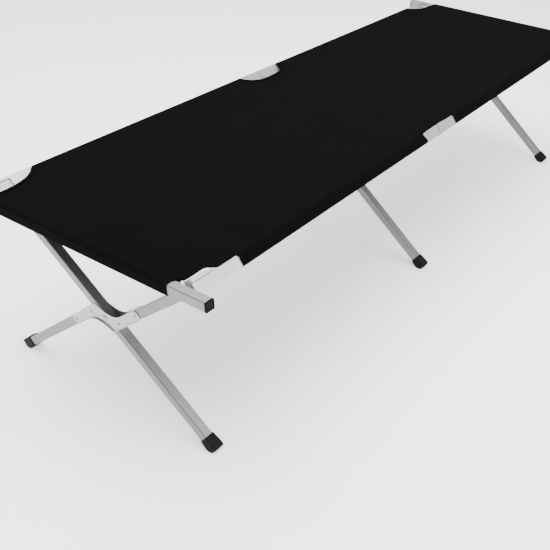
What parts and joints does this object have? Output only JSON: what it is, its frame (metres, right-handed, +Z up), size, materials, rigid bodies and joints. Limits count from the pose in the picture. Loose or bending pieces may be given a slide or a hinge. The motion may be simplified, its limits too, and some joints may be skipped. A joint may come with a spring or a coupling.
{
  "type": "folding camp cot",
  "caption": "Folding camp cot: a black fabric bed stretched between two square-tube rails, on crossed leg pairs that scissor shut, with end bars and tension levers.",
  "frame": {"origin": "bottom centre of the standing cot's bounding box", "axes": "+X along the bed towards the foot end, +Y towards the left rail, the one the through legs carry, +Z up"},
  "size_m": [1.905, 0.7, 0.4638],
  "materials": {
    "tube": "satin anodised square tube",
    "zinc_steel": "bright zinc plate",
    "boot_plastic": "ribbed black",
    "cap_plastic": "fine grained black",
    "bed_fabric": "black plain-woven polyester"
  },
  "bodies": {
    "right_frame": {"right_rail_head": "tube", "right_rail_foot": "tube", "right_hinge_channel_head": "zinc_steel", "right_hinge_channel_foot": "zinc_steel", "right_hinge_pin": "zinc_steel", "right_sleeve_head": "bed_fabric", "right_sleeve_foot": "bed_fabric", "split_leg_upper_1": "tube", "split_leg_lower_1": "tube", "scissor_plate_front_1": "zinc_steel", "scissor_plate_rear_1": "zinc_steel", "crossing_pin_1": "zinc_steel", "right_leg_bracket_1": "zinc_steel", "split_leg_boot_1": "boot_plastic", "split_leg_upper_2": "tube", "split_leg_lower_2": "tube", "scissor_plate_front_2": "zinc_steel", "scissor_plate_rear_2": "zinc_steel", "crossing_pin_2": "zinc_steel", "right_leg_bracket_2": "zinc_steel", "split_leg_boot_2": "boot_plastic", "split_leg_upper_3": "tube", "split_leg_lower_3": "tube", "scissor_plate_front_3": "zinc_steel", "scissor_plate_rear_3": "zinc_steel", "crossing_pin_3": "zinc_steel", "right_leg_bracket_3": "zinc_steel", "split_leg_boot_3": "boot_plastic", "corner_bracket_head_right": "zinc_steel", "corner_bracket_foot_right": "zinc_steel", "bed_fabric": "bed_fabric"},
    "left_frame": {"left_rail_head": "tube", "left_rail_foot": "tube", "left_hinge_channel_head": "zinc_steel", "left_hinge_channel_foot": "zinc_steel", "left_hinge_pin": "zinc_steel", "left_sleeve_head": "bed_fabric", "left_sleeve_foot": "bed_fabric", "through_leg_1": "tube", "left_leg_bracket_1": "zinc_steel", "through_leg_boot_1": "boot_plastic", "through_leg_2": "tube", "left_leg_bracket_2": "zinc_steel", "through_leg_boot_2": "boot_plastic", "through_leg_3": "tube", "left_leg_bracket_3": "zinc_steel", "through_leg_boot_3": "boot_plastic", "corner_bracket_head_left": "zinc_steel", "corner_bracket_foot_left": "zinc_steel"},
    "lever_head_right": {"tension_lever_head_right": "zinc_steel"},
    "lever_head_left": {"tension_lever_head_left": "zinc_steel"},
    "end_bar_head": {"end_bar_head": "tube", "end_cap_head_right": "cap_plastic", "end_cap_head_left": "cap_plastic"},
    "lever_foot_right": {"tension_lever_foot_right": "zinc_steel"},
    "lever_foot_left": {"tension_lever_foot_left": "zinc_steel"},
    "end_bar_foot": {"end_bar_foot": "tube", "end_cap_foot_right": "cap_plastic", "end_cap_foot_left": "cap_plastic"}
  },
  "joints": [
    {"name": "scissor_fold", "type": "hinge", "parent": "right_frame", "child": "left_frame", "pos_m": [0, 0, 0.235], "axis": [1, 0, 0], "range_deg": [0, 101], "deforming": ["bed_fabric"]},
    {"name": "end_bar_head_pull", "type": "slide", "parent": "right_frame", "child": "end_bar_head", "axis": [-1, 0, 0], "range_m": [0, 0.16]},
    {"name": "end_bar_foot_pull", "type": "slide", "parent": "right_frame", "child": "end_bar_foot", "axis": [1, 0, 0], "range_m": [0, 0.16]},
    {"name": "tension_lever_head_right", "type": "hinge", "parent": "right_frame", "child": "lever_head_right", "pos_m": [-0.915, -0.29208, 0.44], "axis": [0, -0.6293, -0.7771], "range_deg": [0, 100]},
    {"name": "tension_lever_head_left", "type": "hinge", "parent": "left_frame", "child": "lever_head_left", "pos_m": [-0.915, 0.29208, 0.44], "axis": [0, -0.6293, 0.7771], "range_deg": [0, 100]},
    {"name": "tension_lever_foot_right", "type": "hinge", "parent": "right_frame", "child": "lever_foot_right", "pos_m": [0.915, -0.29208, 0.44], "axis": [0, 0.6293, 0.7771], "range_deg": [0, 100]},
    {"name": "tension_lever_foot_left", "type": "hinge", "parent": "left_frame", "child": "lever_foot_left", "pos_m": [0.915, 0.29208, 0.44], "axis": [0, 0.6293, -0.7771], "range_deg": [0, 100]}
  ],
  "couplings": [
    {"joint": "end_bar_head_pull", "follows": "scissor_fold", "m_per_rad": 0.0826},
    {"joint": "end_bar_foot_pull", "follows": "scissor_fold", "m_per_rad": 0.0826}
  ]
}
